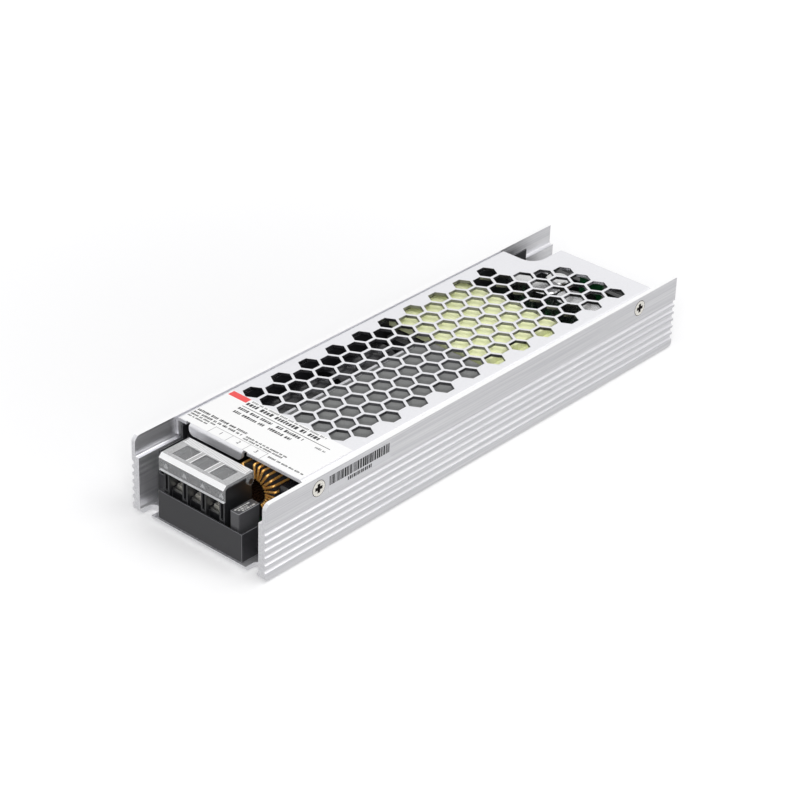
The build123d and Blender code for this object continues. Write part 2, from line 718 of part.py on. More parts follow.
# Disc capacitors, standing on edge behind the box capacitor
disc_x = -board_half + DISC_INSET
disc_y = FRONT + DISC_SETBACK
disc_z = board_top + DISC_LIFT + DISC_RADIUS
with BuildPart() as disc_capacitors:
    with BuildSketch(Plane.XZ.offset(-disc_y)):
        with Locations((disc_x, disc_z)):
            with GridLocations(DISC_SPACING, 0, 2, 1):
                Circle(DISC_RADIUS)
    extrude(amount=DISC / 2, both=True)
    chamfer(disc_capacitors.edges().filter_by(GeomType.CIRCLE), DISC / 4)
    with BuildSketch(Plane.XY.offset(board_top)):
        with Locations((disc_x, disc_y)):
            with GridLocations(DISC_SPACING, 0, 2, 1):
                with GridLocations(DISC_RADIUS, 0, 2, 1):
                    Circle(LEAD_RADIUS)
    extrude(amount=DISC_RADIUS)
save(disc_capacitors.part, "disc_capacitors")


# Common-mode choke: ring core on edge, with two windings whose turns fan out round the ring
choke_y = FRONT + CHOKE_SETBACK
choke_z = board_top + AIR + choke_radius
core_outer = choke_radius - CHOKE_WIRE - RUNNING
core_inner = core_outer - CHOKE_CORE_SECTION
turn_axial = CHOKE_CORE_LENGTH + 2 * CHOKE_WIRE
turn_radial = CHOKE_CORE_SECTION + 2 * (CHOKE_WIRE + RUNNING)
choke_face = Plane(origin=(choke_x, choke_y, choke_z), x_dir=(1, 0, 0), z_dir=(0, 1, 0))
last_turn = (CHOKE_TURNS - 1) / 2 * CHOKE_TURN_ANGLE
lead_foot = Vector(choke_radius - CHOKE_WIRE / 2, 0, 0).rotate(Axis.Y, last_turn)

with BuildPart() as choke_core:
    with BuildSketch(choke_face):
        Circle(core_outer)
        Circle(core_inner, mode=Mode.SUBTRACT)
    extrude(amount=CHOKE_CORE_LENGTH / 2, both=True)
save(choke_core.part, "choke_core")

with BuildPart() as choke_winding:
    for side_angle in (0, 180):
        for turn in range(CHOKE_TURNS):
            angle = side_angle + turn * CHOKE_TURN_ANGLE - last_turn
            radial = Vector(1, 0, 0).rotate(Axis.Y, angle)
            turn_face = Plane(choke_face.origin, x_dir=radial, z_dir=radial.cross(Vector(0, 1, 0)))
            with BuildSketch(turn_face):
                with Locations((middle(core_outer, core_inner), 0)):
                    RectangleRounded(turn_radial, turn_axial, CHOKE_WIRE)
                    Rectangle(turn_radial - 2 * CHOKE_WIRE, CHOKE_CORE_LENGTH, mode=Mode.SUBTRACT)
            extrude(amount=CHOKE_WIRE / 2, both=True)
    with BuildSketch(Plane.XY.offset(board_top)):
        with Locations((choke_x, choke_y)):
            with GridLocations(2 * lead_foot.X, CHOKE_CORE_LENGTH, 2, 2):
                Circle(CHOKE_WIRE / 2)
    extrude(amount=choke_z + lead_foot.Z - board_top)
save(choke_winding.part, "choke_winding")


# Bulk capacitors: two cans lying in line, each on two bent leads
core_back = BACK - CORE_BACK_SETBACK
core_front = core_back - CORE_LENGTH
bulk_radius = (headroom - BULK_CROWN) / 2
bulk_x = -board_half + bulk_radius
bulk_z = board_top + bulk_radius
bulk_front = FRONT + BULK_SETBACK
bulk_length = (core_front - BULK_CORE_GAP - bulk_front - BULK_GAP) / 2
with BuildPart() as bulk_capacitors:
    for can in range(2):
        can_front = bulk_front + can * (bulk_length + BULK_GAP)
        with BuildSketch(Plane.XZ.offset(-can_front)):
            with Locations((bulk_x, bulk_z)):
                Circle(bulk_radius)
        extrude(amount=-bulk_length)
        with BuildSketch(Plane.XZ.offset(-can_front)):
            with Locations((bulk_x, bulk_z)):
                with GridLocations(LEAD_SPACING, 0, 2, 1):
                    Rectangle(2 * LEAD_RADIUS, 2 * LEAD_RADIUS)
        extrude(amount=BULK_LEAD_REACH)
        with BuildSketch(Plane.XY.offset(board_top)):
            with Locations((bulk_x, can_front - BULK_LEAD_REACH + LEAD_RADIUS)):
                with GridLocations(LEAD_SPACING, 0, 2, 1):
                    Rectangle(2 * LEAD_RADIUS, 2 * LEAD_RADIUS)
        extrude(amount=bulk_radius)
save(bulk_capacitors.part, "bulk_capacitors")


# Primary heat sink: a folded plate under the cover, with a leg down to the board and a raised rim
sink_left = bulk_x + bulk_radius - SINK_OVER_BULK
sink_right = board_half - SINK_INSET
sink_front = FRONT + SINK_SETBACK
sink_back = core_front - SINK_CORE_GAP
sink_top = cover_under - PAD_CROWN - PAD
sink_under = sink_top - SINK
leg_face = sink_right - SINK
with BuildPart() as heatsink:
    with BuildSketch(Plane.XZ.offset(-sink_front)):
        with Locations((middle(sink_left, sink_right), middle(sink_under, sink_top))):
            Rectangle(sink_right - sink_left, SINK)
        with Locations((middle(leg_face, sink_right), middle(board_top, sink_top))):
            Rectangle(SINK, sink_top - board_top)
        with Locations((sink_left + SINK_RIM / 2, middle(sink_under, sink_top + SINK_RIM_RISE))):
            Rectangle(SINK_RIM, SINK + SINK_RIM_RISE)
    extrude(amount=sink_front - sink_back)
    top_edges = heatsink.edges().filter_by(Axis.Y)
    fillet(top_edges.sort_by_distance((sink_right, middle(sink_front, sink_back), sink_top))[0], SINK / 2)
save(heatsink.part, "heatsink")

# Thermal pad on the plate
pad_left = sink_left + SINK_RIM + SLIP
pad_right = sink_right - PAD_INSET
with BuildPart() as thermal_pad:
    with BuildSketch(Plane.XY.offset(sink_top)):
        with Locations((middle(pad_left, pad_right), middle(sink_front, sink_back))):
            Rectangle(pad_right - pad_left, sink_back - sink_front - 2 * PAD_INSET)
    extrude(amount=PAD)
save(thermal_pad.part, "thermal_pad")


def flat_packages(size, places, lead_count, turned):
    """Power packages flat against a heat sink, on straight leads. Turned ones face along Y."""
    thickness, width, height = size
    plan = (width, thickness) if turned else (thickness, width)
    lead_grid = (lead_count, 1) if turned else (1, lead_count)
    with BuildPart() as packages:
        with BuildSketch(Plane.XY.offset(board_top + PACKAGE_LIFT)):
            with Locations(*places):
                Rectangle(*plan)
        extrude(amount=height)
        with BuildSketch(Plane.XY.offset(board_top)):
            with Locations(*places):
                with GridLocations(LEAD_PITCH, LEAD_PITCH, *lead_grid):
                    Rectangle(LEAD_WIDTH, LEAD_WIDTH)
        extrude(amount=PACKAGE_LIFT)
    return packages.part


# Bridge rectifier and two transistors share the leg, which is divided into six equal stations
station = (sink_back - sink_front) / 6
package_height = sink_under - board_top - PACKAGE_LIFT - PACKAGE_CROWN
bridge_size = (BRIDGE_THICKNESS, 2 * station, package_height)
bridge_place = (leg_face - BRIDGE_THICKNESS / 2, sink_front + 1.3 * station)
save(flat_packages(bridge_size, [bridge_place], 4, False), "bridge_rectifier")
transistor_size = (TRANSISTOR_THICKNESS, station - AIR, package_height)
transistor_x = leg_face - TRANSISTOR_THICKNESS / 2
transistor_places = [(transistor_x, sink_front + share * station) for share in (3.3, 4.6)]
save(flat_packages(transistor_size, transistor_places, 3, False), "power_transistors")

# Boost choke, between the bulk capacitors and the packages
boost_left = bulk_x + bulk_radius + BOOST_SIDE_GAP
boost_right = leg_face - TRANSISTOR_THICKNESS - BOOST_SIDE_GAP
boost_size = (boost_right - boost_left, 2.5 * station, sink_under - board_top - BOOST_CROWN)
save(upright_box(boost_size, middle(boost_left, boost_right), FRONT + BOOST_SETBACK, 1.0), "boost_choke")


# Transformer: a closed ferrite core whose post runs along the case, through a wound bobbin
core_width = 2 * (board_half - CORE_INSET)
core_y = middle(core_front, core_back)
winding_height = headroom - AIR - 2 * TAPE - TRANSFORMER_CROWN
winding_width = core_width - 2 * (CORE_LEG + WINDING_SIDE_GAP + TAPE)
winding_z = board_top + AIR + TAPE + winding_height / 2
core_height = winding_height - 2 * CORE_BELOW_WINDING
core_under = winding_z - core_height / 2
window_length = CORE_LENGTH - 2 * CORE_END
bobbin_length = window_length - 2 * RUNNING
tube_width = CORE_POST + 2 * (RUNNING + BOBBIN)
tube_height = core_height + 2 * (RUNNING + BOBBIN)
winding_length = bobbin_length - 2 * BOBBIN
flange_width = winding_width + 2 * TAPE
across = Plane(origin=(0, core_y, winding_z), x_dir=(1, 0, 0), z_dir=(0, -1, 0))
with BuildPart() as transformer_core:
    with BuildSketch(Plane.XY.offset(core_under)):
        with Locations((0, core_y)):
            Rectangle(core_width, CORE_LENGTH)
            Rectangle(core_width - 2 * CORE_LEG, window_length, mode=Mode.SUBTRACT)
            Rectangle(CORE_POST, window_length)
    extrude(amount=core_height)
save(transformer_core.part, "transformer_core")

with BuildPart() as transformer_bobbin:
    with BuildSketch(across):
        Rectangle(tube_width, tube_height)
    extrude(amount=bobbin_length / 2, both=True)
    for end in (-1, 1):
        with BuildSketch(across.offset(end * (bobbin_length - BOBBIN) / 2)):
            Rectangle(flange_width, winding_height)
        extrude(amount=BOBBIN / 2, both=True)
    with BuildSketch(Plane.XY.offset(board_top)):
        with Locations((0, core_y)):
            with GridLocations(0, window_length + RAIL_LENGTH - 2 * BOBBIN, 1, 2):
                Rectangle(winding_width, RAIL_LENGTH)
    extrude(amount=core_under - board_top)
    with BuildSketch(across):
        Rectangle(CORE_POST + 2 * RUNNING, core_height + 2 * RUNNING)
    extrude(amount=CORE_LENGTH / 2, both=True, mode=Mode.SUBTRACT)
save(transformer_bobbin.part, "transformer_bobbin")

with BuildPart() as transformer_winding:
    with BuildSketch(across):
        RectangleRounded(winding_width, winding_height, WINDING_ROUND)
        Rectangle(tube_width, tube_height, mode=Mode.SUBTRACT)
    extrude(amount=winding_length / 2, both=True)
save(transformer_winding.part, "transformer_winding")

with BuildPart() as transformer_tape:
    with BuildSketch(across):
        RectangleRounded(flange_width, winding_height + 2 * TAPE, WINDING_ROUND + TAPE)
        RectangleRounded(winding_width, winding_height, WINDING_ROUND, mode=Mode.SUBTRACT)
    extrude(amount=winding_length / 2, both=True)
save(transformer_tape.part, "transformer_tape")


# Output rectifiers flat against a black bar, both standing on the board
output_sink_back = BACK - OUTPUT_SINK_BACK_SETBACK
output_sink_front = output_sink_back - OUTPUT_SINK
output_sink_width = 2 * (board_half - OUTPUT_SINK_INSET)
output_sink_size = (output_sink_width, OUTPUT_SINK, OUTPUT_SINK_HEIGHT)
save(upright_box(output_sink_size, 0, output_sink_front, 0.5), "output_heatsink")
rectifier_spacing = output_sink_width / 2 - RECTIFIER[1] / 2 - RECTIFIER_INSET
rectifier_y = output_sink_front - RECTIFIER[0] / 2
rectifier_places = [(number * rectifier_spacing, rectifier_y) for number in (-1, 0, 1)]
save(flat_packages(RECTIFIER, rectifier_places, 3, True), "output_rectifiers")

# Output capacitors: a row of cans across the board and one behind it
cap_count = int((2 * (board_half - OUTPUT_CAP_SIDE_MARGIN) + OUTPUT_CAP_PITCH / 14) / OUTPUT_CAP_PITCH)
end_cap_x = -board_half + END_CAP_INSET
with BuildPart() as output_capacitors:
    with BuildSketch(Plane.XY.offset(board_top)):
        with Locations((0, BACK - OUTPUT_CAP_BACK_SETBACK)):
            with GridLocations(OUTPUT_CAP_PITCH, 0, cap_count, 1):
                Circle(OUTPUT_CAP_RADIUS)
    extrude(amount=headroom - OUTPUT_CAP_CROWN)
    with BuildSketch(Plane.XY.offset(board_top)):
        with Locations((end_cap_x, BACK - END_CAP_BACK_SETBACK)):
            Circle(END_CAP_RADIUS)
    extrude(amount=END_CAP_HEIGHT)
    chamfer(output_capacitors.edges().filter_by(GeomType.CIRCLE).group_by(Axis.Z)[1:], 0.4)
save(output_capacitors.part, "output_capacitors")

# Output choke: a wound ring lying flat on the board
ring_x = board_half - RING_INSET
with BuildPart() as output_choke:
    with BuildSketch(Plane.XY.offset(board_top)):
        with Locations((ring_x, BACK - RING_BACK_SETBACK)):
            Circle(RING_RADIUS)
            Circle(RING_BORE, mode=Mode.SUBTRACT)
    extrude(amount=RING_HEIGHT)
    ring_rims = output_choke.edges().filter_by(GeomType.CIRCLE).group_by(SortBy.RADIUS)[-1]
    chamfer(ring_rims, RING_BEVEL)
save(output_choke.part, "output_choke")

# Control board standing on edge, with one chip on the side that faces the capacitors
control_left = end_cap_x + END_CAP_RADIUS + CONTROL_SIDE_GAP
control_right = ring_x - RING_RADIUS - CONTROL_SIDE_GAP
control_x = middle(control_left, control_right)
control_front = BACK - CONTROL_BACK_SETBACK - CONTROL_THICKNESS
control_size = (control_right - control_left, CONTROL_THICKNESS, headroom - CONTROL_CROWN)
save(upright_box(control_size, control_x, control_front, 0.2), "control_board")
save(upright_box(CHIP, control_x, control_front - CHIP[1], 0.2, CHIP_LIFT), "control_chip")

# Output voltage trimmer: a square body with a slotted rotor sunk in its top
trimmer_x = board_half - TRIMMER_INSET - TRIMMER[0] / 2
trimmer_y = BACK - TRIMMER_BACK_SETBACK + TRIMMER[1] / 2
trimmer_top = board_top + TRIMMER[2]
with BuildPart() as trimmer_body:
    add(upright_box(TRIMMER, trimmer_x, BACK - TRIMMER_BACK_SETBACK, 0.3))
    with BuildSketch(Plane.XY.offset(trimmer_top)):
        with Locations((trimmer_x, trimmer_y)):
            Circle(ROTOR_RADIUS + RUNNING)
    extrude(amount=-ROTOR_SUNK - RUNNING, mode=Mode.SUBTRACT)
save(trimmer_body.part, "trimmer_body")

rotor_top = trimmer_top + ROTOR_PROUD
with BuildPart() as trimmer_rotor:
    with BuildSketch(Plane.XY.offset(trimmer_top - ROTOR_SUNK)):
        with Locations((trimmer_x, trimmer_y)):
            Circle(ROTOR_RADIUS)
    extrude(amount=ROTOR_SUNK + ROTOR_PROUD)
    with BuildSketch(Plane.XY.offset(rotor_top)):
        with Locations((trimmer_x, trimmer_y)):
            Rectangle(RECESS_SPAN, RECESS_WIDTH)
            Rectangle(RECESS_WIDTH, RECESS_SPAN)
    extrude(amount=-RECESS_DEPTH, mode=Mode.SUBTRACT)
save(trimmer_rotor.part, "trimmer_rotor")

# Indicator: a domed lamp with a flange at its foot
led_place = (-board_half + LED_INSET, BACK - LED_BACK_SETBACK)
with BuildPart() as indicator_led:
    with BuildSketch(Plane.XY.offset(board_top)):
        with Locations(led_place):
            Circle(LED_RADIUS + LED_FLANGE)
    extrude(amount=LED_FLANGE_HEIGHT)
    with BuildSketch(Plane.XY.offset(board_top)):
        with Locations(led_place):
            Circle(LED_RADIUS)
    extrude(amount=LED_HEIGHT)
    fillet(indicator_led.edges().group_by(Axis.Z)[-1], LED_RADIUS - SLIP)
save(indicator_led.part, "indicator_led")

# Rating label on the cover, and serial sticker on the near wall
with BuildPart() as label:
    with BuildSketch(Plane.XY.offset(cover_top)):
        with Locations((0, FRONT + LABEL_SETBACK + LABEL_LENGTH / 2)):
            Rectangle(2 * (cover_half - COVER_BEND - LABEL_INSET), LABEL_LENGTH)
    extrude(amount=COVER_DROP)
save(label.part, "label")

with BuildPart() as serial_sticker:
    with BuildSketch(side_plane(1)):
        sticker_z = HEIGHT - STICKER_TOP_GAP - STICKER_HEIGHT / 2
        with Locations((FRONT + STICKER_SETBACK + STICKER_LENGTH / 2, sticker_z)):
            Rectangle(STICKER_LENGTH, STICKER_HEIGHT)
    extrude(amount=STICKER)
save(serial_sticker.part, "serial_sticker")
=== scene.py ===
import math
import random

import bmesh
import bpy
from mathutils import Matrix, Vector


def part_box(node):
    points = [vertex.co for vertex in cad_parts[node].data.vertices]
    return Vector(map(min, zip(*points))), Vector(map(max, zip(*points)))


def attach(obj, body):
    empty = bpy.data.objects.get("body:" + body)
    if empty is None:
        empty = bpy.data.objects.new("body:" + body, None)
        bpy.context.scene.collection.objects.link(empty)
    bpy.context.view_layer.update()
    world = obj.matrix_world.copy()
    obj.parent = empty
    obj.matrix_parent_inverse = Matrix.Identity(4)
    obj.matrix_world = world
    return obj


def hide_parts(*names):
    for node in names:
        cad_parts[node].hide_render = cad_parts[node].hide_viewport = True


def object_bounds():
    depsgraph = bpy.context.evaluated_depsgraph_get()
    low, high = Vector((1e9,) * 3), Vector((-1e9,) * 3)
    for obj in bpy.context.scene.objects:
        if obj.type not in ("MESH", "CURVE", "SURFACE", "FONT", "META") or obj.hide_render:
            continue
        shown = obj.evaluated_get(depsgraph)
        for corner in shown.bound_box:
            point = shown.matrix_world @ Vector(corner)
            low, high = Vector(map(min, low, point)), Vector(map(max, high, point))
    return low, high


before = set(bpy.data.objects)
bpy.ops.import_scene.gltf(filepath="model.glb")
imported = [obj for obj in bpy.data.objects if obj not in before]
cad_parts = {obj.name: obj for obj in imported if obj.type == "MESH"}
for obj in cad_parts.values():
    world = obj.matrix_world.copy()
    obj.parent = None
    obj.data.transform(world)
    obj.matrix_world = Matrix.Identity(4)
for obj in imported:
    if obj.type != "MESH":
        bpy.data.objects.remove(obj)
case_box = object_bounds()
scene = bpy.context.scene
mm = 0.001

# Camera: a long lens above the input end, turned to the grooved right-hand wall, slightly rolled.
# Its place is given as turn, rise and distance from a point near the middle of the case, and its
# focal length in pixels of a picture of this width.
camera_turn = math.radians(40.651)
camera_rise = math.radians(30.587)
camera_roll = math.radians(2.021)
camera_distance = 0.8202
camera_aim = Vector((0.895, -9.842, 13.0)) * mm
picture_width = 800
focal_pixels = 2636.9

back = Vector(
    (
        math.sin(camera_turn) * math.cos(camera_rise),
        -math.cos(camera_turn) * math.cos(camera_rise),
        math.sin(camera_rise),
    )
)
level = (-back).cross(Vector((0, 0, 1))).normalized()
upright = level.cross(-back)
right = math.cos(camera_roll) * level + math.sin(camera_roll) * upright
up = -math.sin(camera_roll) * level + math.cos(camera_roll) * upright
lens = bpy.data.cameras.new("camera")
lens.sensor_width = 36
lens.lens = focal_pixels * lens.sensor_width / picture_width
lens.clip_start = 0.05
lens.clip_end = 20
camera = bpy.data.objects.new("camera", lens)
camera.matrix_world = Matrix.Translation(camera_aim + back * camera_distance) @ Matrix(
    (right, up, back)
).transposed().to_4x4()
scene.collection.objects.link(camera)
scene.camera = camera
scene.view_settings.view_transform = "Standard"


# Studio: an even white surround. The camera, metal and clear plastic see it as plain white, and
# what is matt is lit by a dimmer sky that is brighter overhead.
def srgb(code):
    """Linear colour from a six-digit hex sRGB colour."""
    parts = [int(code[i : i + 2], 16) / 255 for i in (0, 2, 4)]
    linear = [p / 12.92 if p <= 0.04045 else ((p + 0.055) / 1.055) ** 2.4 for p in parts]
    return (*linear, 1.0)


def add_node(tree, kind, settings=None, links=None):
    """Adds one shader node with its settings, and links sockets to it by name or number."""
    made = tree.nodes.new("ShaderNode" + kind)
    for key, value in (settings or {}).items():
        if isinstance(key, int) or key in made.inputs:
            made.inputs[key].default_value = value
        else:
            setattr(made, key, value)
    for key, socket in (links or {}).items():
        tree.links.new(socket, made.inputs[key])
    return made


world = bpy.data.worlds.new("studio")
scene.world = world
world.use_nodes = True
sky = world.node_tree
sky.nodes.clear()
rays = add_node(sky, "LightPath")
straight_seen = add_node(
    sky,
    "Math",
    {"operation": "MAXIMUM"},
    {0: rays.outputs["Is Camera Ray"], 1: rays.outputs["Is Transmission Ray"]},
)
seen = add_node(
    sky,
    "Math",
    {"operation": "MAXIMUM"},
    {0: straight_seen.outputs[0], 1: rays.outputs["Is Glossy Ray"]},
)
direction = add_node(sky, "TexCoord")
height = add_node(sky, "SeparateXYZ", None, {0: direction.outputs["Generated"]})
dome = add_node(sky, "ValToRGB", None, {"Fac": height.outputs["Z"]})
dome.color_ramp.elements[0].color = srgb("70707A")
dome.color_ramp.elements[1].color = srgb("FFFFFF")
dim = add_node(sky, "Background", {"Strength": 0.80}, {"Color": dome.outputs[0]})
white = add_node(sky, "Background", {"Color": srgb("FFFFFF"), "Strength": 1.0})
chosen = add_node(
    sky, "MixShader", None, {0: seen.outputs[0], 1: dim.outputs[0], 2: white.outputs[0]}
)
add_node(sky, "OutputWorld", None, {"Surface": chosen.outputs[0]})


# Lamps: one large soft lamp overhead to the right, and a lower one beside the camera, which looks
# into the vents and the terminals with it.
def lamp(name, place, aim, sides, watts):
    """A soft rectangular lamp, with its place, the point that it faces and its sides in mm."""
    light = bpy.data.lights.new(name, "AREA")
    light.shape = "RECTANGLE"
    light.size = sides[0] * mm
    light.size_y = sides[1] * mm
    light.energy = watts
    made = bpy.data.objects.new(name, light)
    made.location = Vector(place) * mm
    made.rotation_euler = (Vector(aim) - Vector(place)).to_track_quat("-Z", "Y").to_euler()
    scene.collection.objects.link(made)


lamp("overhead_lamp", place=(190, 130, 580), aim=(0, 0, 0), sides=(420, 420), watts=1.30)
lamp("front_lamp", place=(400, -500, 430), aim=(0, -30, 10), sides=(300, 260), watts=1.55)


# Floor: matt white paper, just white by the case, so that it keeps a soft shadow there, and lit
# more further out. Metal sees it darker than the sky, so that each groove has a darker side.
def new_material(name):
    """An empty node material. Returns it, its tree and its output."""
    made = bpy.data.materials.new(name)
    made.use_nodes = True
    made.node_tree.nodes.clear()
    return made, made.node_tree, add_node(made.node_tree, "OutputMaterial")


paper, tree, end = new_material("matt_white_paper")
matt = add_node(tree, "BsdfDiffuse", {"Color": srgb("EDEDED")})
spot = add_node(tree, "TexCoord")
away = add_node(tree, "VectorMath", {"operation": "LENGTH"}, {0: spot.outputs["Object"]})
fill = add_node(
    tree,
    "MapRange",
    {"From Min": 0.08, "From Max": 0.40, "To Min": 0.15, "To Max": 0.52},
    {"Value": away.outputs["Value"]},
)
glow = add_node(tree, "Emission", {"Color": srgb("FFFFFF")}, {"Strength": fill.outputs[0]})
lit = add_node(tree, "AddShader", None, {0: matt.outputs[0], 1: glow.outputs[0]})
mirrored = add_node(tree, "Emission", {"Color": srgb("FFFFFF"), "Strength": 0.68})
rays = add_node(tree, "LightPath")
both = add_node(
    tree,
    "MixShader",
    None,
    {0: rays.outputs["Is Glossy Ray"], 1: lit.outputs[0], 2: mirrored.outputs[0]},
)
tree.links.new(both.outputs[0], end.inputs["Surface"])
floor_width = 6
floor_drop = 0.45 * mm
bpy.ops.mesh.primitive_plane_add(size=floor_width, location=(0, 0, -floor_drop))
floor = bpy.context.object
floor.name = "floor"
floor.data.materials.append(paper)

# Channel: extruded aluminium, satin, with faint die lines along its length, and ends sawn square.
# It is the solid itself with its triangles joined and its corners broken by a small radius, and the
# up-facing faces at the tops of its walls are whiter and smoother, a painted highlight.
noise_low, noise_high = 0.3, 0.7  # noise lies mostly between these values
join_distance = 0.001 * mm
flat_within = math.radians(0.4)
second_finish = 1  # the place of a piece's second finish in its list
facing = 0.9  # a face whose normal has this much along an axis faces that way


def grain_noise(tree, grain):
    """Noise on object coordinates. Its grain is one size in mm, or one each for X, Y and Z."""
    place = add_node(tree, "TexCoord")
    sizes = grain if isinstance(grain, tuple) else (grain, grain, grain)
    scale = [1 / (size * mm) for size in sizes]
    mapped = add_node(tree, "Mapping", {"Scale": scale}, {0: place.outputs["Object"]})
    return add_node(
        tree, "TexNoise", {"Scale": 1.0, "Detail": 3.0}, {"Vector": mapped.outputs[0]}
    )


def finish(name, colour, rough, metal=0.0, grain=0.5, vary=0.05, tint=None, bump=0.0, depth=0.05):
    """A finish whose grain varies its roughness, and if asked its colour and its relief.

    Grain and depth are in mm. A grain that is finer on the real part is drawn as coarse as this,
    so that it shows.
    """
    made, tree, end = new_material(name)
    shader = add_node(
        tree,
        "BsdfPrincipled",
        {"Base Color": srgb(colour), "Roughness": rough, "Metallic": metal},
    )
    noise = grain_noise(tree, grain)
    spread = add_node(
        tree,
        "MapRange",
        {
            "From Min": noise_low,
            "From Max": noise_high,
            "To Min": rough - vary,
            "To Max": rough + vary,
        },
        {"Value": noise.outputs[0]},
    )
    tree.links.new(spread.outputs[0], shader.inputs["Roughness"])
    if tint:
        ramp = add_node(tree, "ValToRGB", None, {"Fac": noise.outputs[0]})
        ramp.color_ramp.elements[0].position = noise_low
        ramp.color_ramp.elements[0].color = srgb(tint)
        ramp.color_ramp.elements[1].position = noise_high
        ramp.color_ramp.elements[1].color = srgb(colour)
        tree.links.new(ramp.outputs[0], shader.inputs["Base Color"])
    if bump:
        relief = add_node(
            tree, "Bump", {"Strength": bump, "Distance": depth * mm}, {"Height": noise.outputs[0]}
        )
        tree.links.new(relief.outputs[0], shader.inputs["Normal"])
    tree.links.new(shader.outputs[0], end.inputs["Surface"])
    return made


def in_mm(box):
    """The lowest and the highest corner of a box, in mm."""
    return [Vector(corner) / mm for corner in box]


def new_piece(name, shape, materials, body="housing", crease=30):
    """Makes a mesh object from a bmesh, shades it, and lets it ride on a body."""
    mesh = bpy.data.meshes.new(name)
    shape.to_mesh(mesh)
    shape.free()
    for face in mesh.polygons:
        face.use_smooth = True
    mesh.set_sharp_from_angle(angle=math.radians(crease))
    for material in materials:
        mesh.materials.append(material)
    made = bpy.data.objects.new(name, mesh)
    scene.collection.objects.link(made)
    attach(made, body)
    return made


def joined_copy(name, new_name, materials, radius, body="housing", crease=30, edge_finish=-1):
    """A solid's own shape in its place, with its triangles joined and its sharp edges rounded.

    The radius is in mm. The rounded edges take the finish of the faces beside them, or the one at
    edge_finish in the list of materials.
    """
    shape = bmesh.new()
    shape.from_mesh(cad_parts[name].data)
    bmesh.ops.remove_doubles(shape, verts=shape.verts, dist=join_distance)
    bmesh.ops.dissolve_limit(
        shape,
        angle_limit=flat_within,
        verts=shape.verts,
        edges=shape.edges,
        delimit={"NORMAL"},
    )
    made = new_piece(new_name, shape, materials, body, crease)
    edge = made.modifiers.new("broken_edges", "BEVEL")
    edge.width = radius * mm
    edge.segments = 2
    edge.limit_method = "ANGLE"
    edge.angle_limit = math.radians(crease)
    edge.harden_normals = True
    edge.material = edge_finish
    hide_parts(name)
    return made


def paint(material, *names):
    """Gives solids whose shape is kept as it is their finish."""
    for name in names:
        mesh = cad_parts[name].data
        mesh.materials.clear()
        mesh.materials.append(material)


# Etched aluminium gives broad soft glints, with pale and darker streaks along the length. Its
# up-facing rims are whiter and smoother, a painted highlight.
extruded = finish(
    "extruded_aluminium",
    "EFEFF1",
    rough=0.40,
    metal=0.85,
    grain=(0.5, 60, 0.5),
    vary=0.11,
    tint="D9D9DD",
    bump=0.25,
    depth=0.02,
)
rim_highlight = finish("painted_highlight_aluminium_rim", "FCFCFC", rough=0.34, metal=0.85, grain=(0.5, 60, 0.5))
channel = joined_copy("chassis", "channel", [extruded, rim_highlight], radius=0.12)
channel_top = case_box[1][2] / mm
rim_depth = 0.2
# Up-facing faces at the tops of the walls take the painted highlight.
for face in channel.data.polygons:
    if face.normal.z > facing and face.center.z / mm > channel_top - rim_depth:
        face.material_index = second_finish

# Tray: black flame-retardant film folded up round the board, satin, with a folded tab at one end.
# Its ends stand between the two walls and show as a smooth dark panel. Its rounded edges are paler
# and glossier, a painted highlight.
film = finish(
    "folded_black_film", "2F2F32", rough=0.42, grain=0.3, vary=0.04, tint="2A2A2D", bump=0.1
)
film_edge_highlight = finish("painted_highlight_black_film", "77777B", rough=0.35, grain=0.3)
tray = joined_copy(
    "insulating_tray", "tray", [film, film_edge_highlight], radius=0.13, edge_finish=second_finish
)

# Boards: glass-fibre laminate with green solder mask, on brass standoffs with plated screws. The
# mask is glossy and darker over the copper below it, and the plating is a warm bright white.
laminate = finish("green_solder_mask", "175A30", rough=0.32, grain=1.5, tint="124626")
brass = finish("turned_brass", "B9975A", rough=0.30, metal=1.0, vary=0.04)
plated = finish("nickel_plated_steel", "FBF8F0", rough=0.25, metal=0.75, grain=0.4)
paint(laminate, "main_board", "control_board")
paint(brass, "board_standoffs")
paint(plated, "board_screws")

# Mains-side parts: moulded boxes, a fuse, dipped discs and a sleeved varistor on the board. Moulded
# cases are satin, and dipped epoxy and shrunk sleeve are glossy.
black_box = finish("black_moulded_case", "1D1D1F", rough=0.42, grain=0.3)
blue_dip = finish("blue_epoxy_dip", "2B5AA5", rough=0.25, grain=1.0)
shrink = finish("black_shrink_sleeve", "1A1A1D", rough=0.24, grain=1.2)
# The X capacitor sits in the shade under the cover's lip and takes the black finish so that it is
# as dark as that shade: painted shade.
paint(black_box, "x_capacitor", "input_fuse")
paint(blue_dip, "disc_capacitors")
paint(shrink, "varistor")

# Common-mode choke: a ring of ferrite on edge, wound on each side with a fan of enamelled copper.
# Each turn is a round wire led through the ring, over its rim and across both of its faces, and
# where the turns crowd together in the bore they are painted dark brown as shade.
ferrite = finish("sintered_ferrite", "2C2C2F", rough=0.60, grain=0.3, tint="232326")
paint(ferrite, "choke_core", "transformer_core")
# Clear enamel keeps the copper's glint and warms it to orange. Painted shade in the bore is a
# glossy dark brown.
copper = finish("enamelled_copper", "FFD080", rough=0.24, metal=0.6, grain=0.8, tint="FFB654")
bore_shade = finish("painted_shade_bore_copper", "2B1A0E", rough=0.30, grain=0.8)
paint(copper, "output_choke", "transformer_winding")
core_low, core_high = in_mm(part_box("choke_core"))
core_centre = (core_low + core_high) / 2
core_radius = (core_high.x - core_low.x) / 2
core_length = core_high.y - core_low.y
wire = 0.80
wire_sides = 10
wire_gap = 0.05
turns_a_side = 13
turn_angle = math.radians(12.2)
winding_lift = math.radians(20)
bend = 0.75 * wire
bend_steps = 4
near = 3.9
far = core_radius + wire_gap + wire / 2
reach = (core_length + wire) / 2

